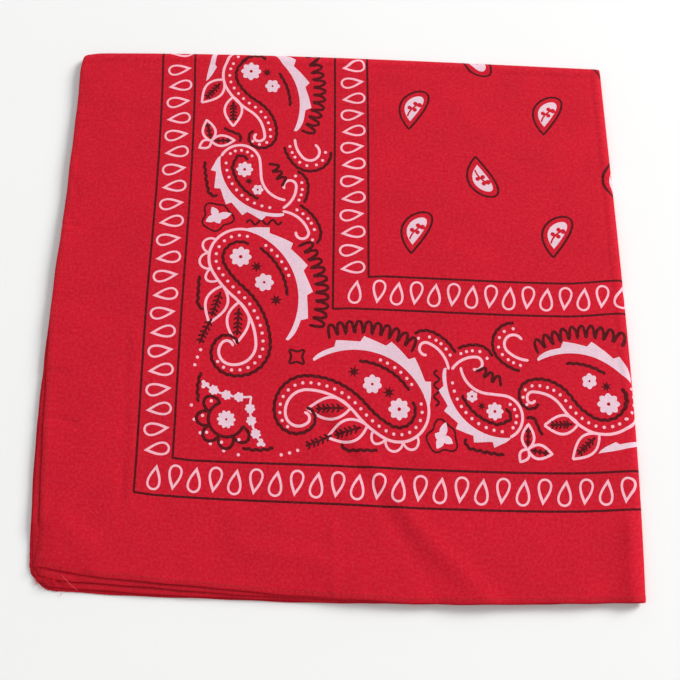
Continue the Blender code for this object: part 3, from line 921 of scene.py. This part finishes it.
def on_hem(layer, edge, across, run, height):
    """Places in the room of places on a hem, whose edge sways and whose height puckers."""
    phase = SWAY[layer] + (1.7 if edge == "near" else 0.0)
    sway = 0.16 * np.sin(run / 13.0 + phase) + 0.10 * np.sin(run / 4.3 + 2 * phase)
    pucker = 1 + 0.10 * np.sin(run / 1.45 + phase) * np.sin(run / 5.1 + phase)
    fray = FRAY[layer] * np.exp(-run / 9.0) * np.sin(run * 2.3 + phase) * np.sin(run * 0.9 + 2 * phase)
    across = across + (sway + fray) * smooth((HEM_WIDTH - across) / HEM_WIDTH + 0.3)
    lift = hem_lift(layer, height * pucker)
    if edge == "left":
        return lay(layer, across, run, lift)
    return lay(layer, run, across, lift)


def hem(name, layer, edge, material):
    """A turned hem: its section carried along the edge of a layer, closed at both ends."""
    side = LAYERS[layer][0]
    run = np.arange(HEM_START[edge], side, HEM_STATION)
    run = np.append(run[run < side - HEM_STATION / 3], side)
    across, height = HEM_SECTION.T
    places = on_hem(layer, edge, across[None, :], run[:, None], height[None, :])
    triangles = tube_triangles(len(run), len(HEM_SECTION))
    if (edge == "left") != (layer == "under"):
        triangles = triangles[:, ::-1]
    round_section = np.linspace(0, 3 * HEM_WIDTH, len(HEM_SECTION)) / UV_UNIT
    flat = np.stack(np.broadcast_arrays(round_section[None, :], run[:, None] / UV_UNIT), -1).reshape(-1, 2)
    return make_piece(name, places.reshape(-1, 3), triangles, [material], None, flat)


STITCH_PITCH = 2.6
STITCH_LONG = 2.15
STITCH_THICK = 0.34
STITCH_HIGH = 0.20      # height of the stitches over the middle of the hem
STITCH_ACROSS = 1.92    # how far the row of stitches lies in from the hem's edge
STITCH_SIDES = 6
STITCH_START = {"left": 2.0, "near": 3.6}


def stitches(name, layer, material):
    """The two rows of stitches of a layer: each stitch a thread that dips in at both its ends."""
    along = np.array([-0.50, -0.40, 0.0, 0.40, 0.50]) * STITCH_LONG
    radius = np.array([0.15, 0.8, 1.0, 0.8, 0.15]) * STITCH_THICK / 2
    rise = np.array([-0.10, 0.02, 0.08, 0.02, -0.10])
    angle = np.arange(STITCH_SIDES) * 2 * np.pi / STITCH_SIDES
    across = radius[:, None] * np.cos(angle)
    height = rise[:, None] + radius[:, None] * np.sin(angle)
    if layer == "under":
        height = np.minimum(height, 0.02)
    side = LAYERS[layer][0]
    one = tube_triangles(len(along), STITCH_SIDES)
    places, triangles, flats = [], [], []
    for edge in ("left", "near"):
        starts = np.arange(STITCH_START[edge], side - 2.0, STITCH_PITCH)
        wander = 0.06 * np.sin(starts * 1.9) + 0.05 * np.sin(starts / 6.1)
        run = starts[:, None, None] + along[None, :, None] + 0 * across[None]
        in_from_edge = STITCH_ACROSS + wander[:, None, None] + across[None]
        spots = on_hem(layer, edge, in_from_edge, run, STITCH_HIGH + height[None] + 0 * run).reshape(-1, 3)
        way = one if (edge == "left") == (layer == "under") else one[:, ::-1]
        first = sum(len(row) for row in places)
        shift = first + np.arange(len(starts))[:, None, None] * len(along) * STITCH_SIDES
        triangles.append((way[None] + shift).reshape(-1, 3))
        places.append(spots)
        flats.append(np.stack([in_from_edge + 0 * run, run], -1).reshape(-1, 2) / UV_UNIT)
    return make_piece(name, np.concatenate(places), np.concatenate(triangles), [material], None,
                      np.concatenate(flats))


# ---- loose threads and fray ---------------------------------------------------------------------------
# in the pile's own millimetres, across and away, and in degrees
LOOSE_THREADS = (
    # start, heading, length, turn to the left, height at its start and at its end, thickness
    ((-123.0, -134.0), -48, 10.5, 14, 4.5, 2.2, 0.20),
    ((28.5, -141.0), -40, 12.5, 78, 1.6, 0.9, 0.20),
    ((26.5, -142.5), -24, 6.0, 28, 1.3, 0.8, 0.18),
    ((-123.5, -141.5), -62, 1.5, 0, 0.9, 0.5, 0.24),
)
# a tuft: middle of its roots, which way its fibres run, their number and length, spread of the roots
TUFTS = (
    ((-134.5, -133.5, 1.3), (0.10, -1.0), 40, 3.0, (0.8, 1.8)),
    ((-133.5, -135.0, 1.2), (0.05, -1.0), 40, 3.0, (0.9, 1.4)),
    ((-131.5, -138.0, 1.0), (0.1, -1.0), 16, 1.6, (1.6, 0.8)),
    ((-129.0, -136.0, 2.6), (1.0, -0.35), 60, 3.6, (2.6, 1.2)),
    ((-124.0, -138.0, 2.2), (1.0, -0.25), 10, 3.6, (3.2, 0.9)),
    ((-134.5, -130.0, 3.2), (-0.1, -1.0), 8, 2.4, (1.2, 1.6)),
    ((-136.5, -116.0, 2.2), (-0.3, -1.0), 6, 2.0, (0.6, 5.0)),
)
FIBRE_THICK = 0.17
FIBRE_SIDES = 5
FIBRE_LOW = 0.3         # no fibre bends lower than this over the floor


def tube(knots, thickness, step=0.5):
    """Places and triangles of a thin round thread along its knots, finer towards both ends."""
    knots = np.array(knots, float)
    spans = np.concatenate([[0.0], np.cumsum(np.linalg.norm(np.diff(knots, axis=0), axis=1))])
    count = max(int(spans[-1] / step), 4) + 1
    flat = smooth_line(knots[:, :2], spans[-1] / (count * 4))
    share = np.linspace(0, 1, count)
    path = np.stack([np.interp(share, np.linspace(0, 1, len(flat)), flat[:, 0]),
                     np.interp(share, np.linspace(0, 1, len(flat)), flat[:, 1]),
                     np.interp(share, spans / spans[-1], knots[:, 2])], axis=-1)
    run = np.gradient(path, axis=0)
    run /= np.linalg.norm(run, axis=1)[:, None]
    side = np.cross(run, (0.0, 0.0, 1.0))
    side /= np.maximum(np.linalg.norm(side, axis=1), 1e-6)[:, None]
    over = np.cross(side, run)
    angle = np.arange(FIBRE_SIDES) * 2 * np.pi / FIBRE_SIDES
    radius = thickness / 2 * (0.35 + 0.65 * smooth(np.minimum(share, 1 - share) * 6))
    ring = np.cos(angle)[None, :, None] * side[:, None] + np.sin(angle)[None, :, None] * over[:, None]
    places = path[:, None] + radius[:, None, None] * ring
    return places.reshape(-1, 3), tube_triangles(count, FIBRE_SIDES)


def tuft_fibres():
    """Knots of every fibre of the tufts: a root, a bend and a tip, each a little off its tuft's way."""
    chance = np.random.default_rng(11)
    fibres = []
    for root, way, number, length, spread in TUFTS:
        way = np.array(way) / np.hypot(*way)
        for _ in range(number):
            aside = np.array(spread) * chance.uniform(-1, 1, 2)
            start = np.array(root) + np.append(aside, chance.uniform(-0.4, 0.4))
            turn, bend = chance.normal(0.0, 0.45), chance.normal(0.0, 0.6)
            reach = length * chance.uniform(0.45, 1.0)
            knots = [start]
            for share, angle in ((0.45, turn), (0.35, turn + bend), (0.2, turn + 1.8 * bend)):
                ahead = np.array([way[0] * np.cos(angle) - way[1] * np.sin(angle),
                                  way[0] * np.sin(angle) + way[1] * np.cos(angle)])
                step = np.append(ahead * reach * share, chance.uniform(-0.25, 0.15))
                knots.append(knots[-1] + step)
            knots = np.array(knots)
            knots[:, 2] = np.maximum(knots[:, 2], FIBRE_LOW)
            fibres.append(knots)
    return fibres


def loose_threads():
    """Knots and thickness of every loose thread: an arc that sinks evenly along its length."""
    threads = []
    for start, heading, length, turn, high, low, thickness in LOOSE_THREADS:
        route = arcs(start, heading, (length, turn))
        threads.append((np.column_stack([route, np.linspace(high, low, len(route))]), thickness))
    return threads


def loose_piece(name, threads, material):
    """One piece of loose threads. Each is a pair of knots and a thickness."""
    places, triangles, first = [], [], 0
    for knots, thickness in threads:
        spots, faces = tube(np.array(knots) - (*CENTRE, 0.0), thickness)
        places.append(spots)
        triangles.append(faces + first)
        first += len(spots)
    places = np.concatenate(places)
    piece = make_piece(name, places * MM, np.concatenate(triangles), [material], None,
                       places[:, :2] / UV_UNIT)
    return piece


# ---- materials ----------------------------------------------------------------------------------------
THREAD = 0.36           # distance between threads of the weave, in millimetres
FINE_THREAD = 0.2       # and between the strands of sewing thread
COTTON_RED = (0.605, 0.0068, 0.0240)
# the hems' cotton is a little darker than the face's: painted shade along the edges
HEM_SHADED_RED = (0.580, 0.0070, 0.0220)
THREAD_RED = (0.520, 0.0260, 0.0350)
# the fray's fibres are lighter than the cloth: painted highlight where the tuft catches the light
FIBRE_LIT_RED = (0.700, 0.0110, 0.0300)
LOOSE_RED = (0.720, 0.0900, 0.1100)
INK_PALE = (1.00, 0.58, 0.68)
INK_WHITE = (0.83, 0.62, 0.72)
INK_BLACK = (0.018, 0.003, 0.004)
WEAVE_GLINT = (0.95, 0.72, 0.76)        # painted highlight: whitish glints of light off the fibres of the weave
FLOOR_TONE = (0.93, 0.93, 0.925)


def new_group(name, inputs, outputs):
    """An empty shader node group with named sockets, and its two ends."""
    group = bpy.data.node_groups.new(name, "ShaderNodeTree")
    for label, kind, value in inputs:
        socket = group.interface.new_socket(name=label, in_out="INPUT", socket_type=kind)
        if value is not None:
            socket.default_value = value
    for label, kind in outputs:
        group.interface.new_socket(name=label, in_out="OUTPUT", socket_type=kind)
    return group, group.nodes.new("NodeGroupInput"), group.nodes.new("NodeGroupOutput")


def math(tree, operation, *values):
    """A math node fed by sockets or numbers. It gives its output socket."""
    node = tree.nodes.new("ShaderNodeMath")
    node.operation = operation
    for socket, value in zip(node.inputs, values):
        if isinstance(value, (int, float)):
            socket.default_value = value
        else:
            tree.links.new(value, socket)
    return node.outputs[0]


def noise(tree, place, scale, detail=2.0, roughness=0.5):
    """A noise texture at a place. It gives its value from 0 to 1."""
    node = tree.nodes.new("ShaderNodeTexNoise")
    node.inputs["Scale"].default_value = scale
    node.inputs["Detail"].default_value = detail
    node.inputs["Roughness"].default_value = roughness
    tree.links.new(place, node.inputs["Vector"])
    return node.outputs[0]


def stretched(tree, place, factors):
    """A place multiplied by a factor on each axis."""
    node = tree.nodes.new("ShaderNodeVectorMath")
    node.operation = "MULTIPLY"
    tree.links.new(place, node.inputs[0])
    node.inputs[1].default_value = factors
    return node.outputs[0]


def weave_group():
    """Plain weave: threads of both ways go over and under in turn, some thicker than others.

    The height is the root of the product of two sine ridges, bent a little by soft noise. The tone
    is 1 on average, with a fine streak for every thread and slow blotches, and is a little darker
    where the weave is low, as painted shade between the threads. The glint is a small share of
    painted highlight, whitish specks of light off the fibres, that follows the speckle.
    """
    group, start, end = new_group(
        "plain_weave",
        (("Place", "NodeSocketVector", None), ("Thread", "NodeSocketFloat", THREAD)),
        (("Height", "NodeSocketFloat"), ("Tone", "NodeSocketFloat"), ("Glint", "NodeSocketFloat")),
    )
    place, thread = start.outputs["Place"], start.outputs["Thread"]
    split = group.nodes.new("ShaderNodeSeparateXYZ")
    group.links.new(place, split.inputs[0])
    bend = math(group, "MULTIPLY", math(group, "SUBTRACT", noise(group, place, 0.22), 0.5), 0.9)
    ridges = []
    for axis in (0, 1):
        turns = math(group, "DIVIDE", math(group, "ADD", split.outputs[axis], bend), thread)
        ridges.append(math(group, "SINE", math(group, "MULTIPLY", turns, np.pi)))
    product = math(group, "ABSOLUTE", math(group, "MULTIPLY", *ridges))
    height = math(group, "POWER", product, 0.55)
    tone = 1.0
    for factors, scale, detail, share in (
        ((2.4, 0.10, 1.0), 1.0, 3.0, 0.24),
        ((0.10, 2.4, 1.0), 1.0, 3.0, 0.28),
        ((1.0, 1.0, 1.0), 0.045, 3.0, 0.26),
        ((1.0, 1.0, 1.0), 0.72, 2.5, 0.22),
    ):
        value = noise(group, stretched(group, place, factors), scale, detail, 0.6)
        tone = math(group, "ADD", tone, math(group, "MULTIPLY", math(group, "SUBTRACT", value, 0.5), share))
    # painted highlight: a share of whitish glint where the speckle is high
    glint = math(group, "MULTIPLY", math(group, "SUBTRACT", value, 0.41), 0.062)
    # painted shade: the tone is a little darker where the weave is low, between the threads
    tone = math(group, "MULTIPLY", tone, math(group, "ADD", 0.93, math(group, "MULTIPLY", height, 0.12)))
    group.links.new(height, end.inputs["Height"])
    group.links.new(tone, end.inputs["Tone"])
    group.links.new(math(group, "MAXIMUM", glint, 0.0), end.inputs["Glint"])
    return group


def mixed(tree, factor, first, second):
    """The first colour with a share of a second, which stays the same."""
    node = tree.nodes.new("ShaderNodeMix")
    node.data_type = "RGBA"
    node.inputs[7].default_value = (*second, 1.0)
    tree.links.new(factor, node.inputs[0])
    tree.links.new(first, node.inputs[6])
    return node.outputs[2]


def tint(tree, colour, factor):
    """A colour multiplied by a value that changes over the surface."""
    node = tree.nodes.new("ShaderNodeVectorMath")
    node.operation = "SCALE"
    node.inputs[0].default_value = colour
    tree.links.new(factor, node.inputs["Scale"])
    return node.outputs[0]


def cloth_material(name, weave, colour, under_colour=None, wear=0.0, roughness=0.86, sheen=0.02,
                   thread=THREAD, relief_depth=0.06):
    """Woven cotton of a colour. Ink lets some of the cloth's own colour through where it is worn."""
    material = bpy.data.materials.new(name)
    material.use_nodes = True
    tree = material.node_tree
    shader = tree.nodes["Principled BSDF"]
    uv = tree.nodes.new("ShaderNodeUVMap")
    uv.uv_map = "cloth"
    place = stretched(tree, uv.outputs[0], (UV_UNIT, UV_UNIT, UV_UNIT))
    node = tree.nodes.new("ShaderNodeGroup")
    node.node_tree = weave
    node.inputs["Thread"].default_value = thread
    tree.links.new(place, node.inputs["Place"])
    # the cloth's colour gets a share of painted highlight, the whitish glint off its fibres
    result = mixed(tree, node.outputs["Glint"], tint(tree, colour, node.outputs["Tone"]), WEAVE_GLINT)
    if under_colour is not None:
        rub = noise(tree, place, 1.1, 4.0, 0.65)
        thin = math(tree, "MULTIPLY", math(tree, "SUBTRACT", 1.0, node.outputs["Height"]), 0.5)
        amount = math(tree, "MULTIPLY", math(tree, "ADD", rub, thin), wear)
        result = mixed(tree, math(tree, "MINIMUM", amount, 1.0), result, under_colour)
    tree.links.new(result, shader.inputs["Base Color"])
    grain = noise(tree, place, 1.7, 2.0, 0.5)
    rough = math(tree, "ADD", roughness - 0.05, math(tree, "MULTIPLY", grain, 0.1))
    tree.links.new(rough, shader.inputs["Roughness"])
    shader.inputs["Sheen Weight"].default_value = sheen
    shader.inputs["Sheen Roughness"].default_value = 0.5
    shader.inputs["Specular IOR Level"].default_value = 0.08
    soft = noise(tree, place, 0.35, 3.0, 0.6)
    height = math(tree, "ADD", node.outputs["Height"], math(tree, "MULTIPLY", soft, 2.2))
    bump = tree.nodes.new("ShaderNodeBump")
    bump.inputs["Strength"].default_value = 0.7
    bump.inputs["Distance"].default_value = relief_depth * MM
    tree.links.new(height, bump.inputs["Height"])
    tree.links.new(bump.outputs[0], shader.inputs["Normal"])
    return material


def floor_material():
    """A pale, even floor with the faintest mottle."""
    material = bpy.data.materials.new("pale_floor")
    material.use_nodes = True
    tree = material.node_tree
    shader = tree.nodes["Principled BSDF"]
    place = tree.nodes.new("ShaderNodeTexCoord").outputs["Object"]
    tone = math(tree, "ADD", 0.985, math(tree, "MULTIPLY", noise(tree, place, 9.0), 0.03))
    tree.links.new(tint(tree, FLOOR_TONE, tone), shader.inputs["Base Color"])
    shader.inputs["Roughness"].default_value = 0.9
    shader.inputs["Specular IOR Level"].default_value = 0.1
    return material


# ---- the room -----------------------------------------------------------------------------------------
FLOOR_REACH = 3.0
FLOOR_DROP = 0.00005

# light: place, the point it faces, width, height, power
LIGHTS = {
    "key": ((2.32, 1.51, 1.60), (0.0, 0.0, 0.0), 1.4, 1.4, 109.0),
    "fill": ((-0.7, -0.5, 1.1), (0.0, 0.0, 0.0), 1.4, 1.4, 3.0),
}
ROOM_GLOW = 0.41


def build_room():
    """The floor, the soft lights and the even glow of the room."""
    mesh = bpy.data.meshes.new("floor")
    corner = FLOOR_REACH
    mesh.from_pydata([(-corner, -corner, -FLOOR_DROP), (corner, -corner, -FLOOR_DROP),
                      (corner, corner, -FLOOR_DROP), (-corner, corner, -FLOOR_DROP)], [], [(0, 1, 2, 3)])
    mesh.materials.append(floor_material())
    floor = bpy.data.objects.new("floor", mesh)
    bpy.context.scene.collection.objects.link(floor)
    for name, (place, target, width, height, power) in LIGHTS.items():
        lamp = bpy.data.lights.new(name, "AREA")
        lamp.shape = "RECTANGLE"
        lamp.size = width
        lamp.size_y = height
        lamp.energy = power
        light = bpy.data.objects.new(name, lamp)
        light.location = place
        light.rotation_euler = (Vector(target) - Vector(place)).to_track_quat("-Z", "Y").to_euler()
        bpy.context.scene.collection.objects.link(light)
    world = bpy.data.worlds.new("room")
    world.use_nodes = True
    world.node_tree.nodes["Background"].inputs[0].default_value = (1.0, 1.0, 1.0, 1.0)
    world.node_tree.nodes["Background"].inputs[1].default_value = ROOM_GLOW
    bpy.context.scene.world = world
    bpy.context.scene.view_settings.view_transform = "Standard"


# ---- the bandana ----------------------------------------------------------------------------------------
def build_bandana():
    """Every piece of the folded bandana, each in the place of its solid."""
    weave = weave_group()
    red = cloth_material("red_cotton", weave, COTTON_RED)
    pale = cloth_material("pale_ink", weave, INK_PALE, COTTON_RED, 0.22, roughness=0.8)
    white = cloth_material("white_ink", weave, INK_WHITE, COTTON_RED, 0.12, roughness=0.78)
    black = cloth_material("black_ink", weave, INK_BLACK, COTTON_RED, 0.16, roughness=0.8)
    # painted shade: the hems take a darker red than the face
    hem_shaded_red = cloth_material("hem_cotton", weave, HEM_SHADED_RED, relief_depth=0.08)
    thread_red = cloth_material("stitch_thread", weave, THREAD_RED, thread=FINE_THREAD)
    # painted highlight: the fibres of the fray take a lighter red than the cloth
    fibre_lit_red = cloth_material("loose_fibre_lit", weave, FIBRE_LIT_RED, thread=FINE_THREAD)
    pale_thread = cloth_material("loose_thread", weave, LOOSE_RED, thread=FINE_THREAD)
    inks = [red, pale, white, black]
    sheet = cut_sheet(whole_print())
    for layer, node in (("face", "face_quarter"), ("under", "under_quarter")):
        printed_sheet(layer + "_sheet", layer, sheet, inks)
        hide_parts(node)
    for layer in ("second", "third"):
        plain_sheet(layer + "_sheet", layer, red)
        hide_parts("hidden_layers")
    for layer in LAYERS:
        for edge, end in (("left", "left"), ("near", "bottom")):
            piece = hem(f"{layer}_{edge}_hem", layer, edge, hem_shaded_red)
            if layer in ("face", "under"):
                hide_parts(f"{layer}_hem_{end}")
        piece = stitches(layer + "_stitches", layer, thread_red)
    loose_piece("corner_fray", [(knots, FIBRE_THICK) for knots in tuft_fibres()], fibre_lit_red)
    loose_piece("loose_threads", loose_threads(), pale_thread)


place_camera()
build_room()
build_bandana()
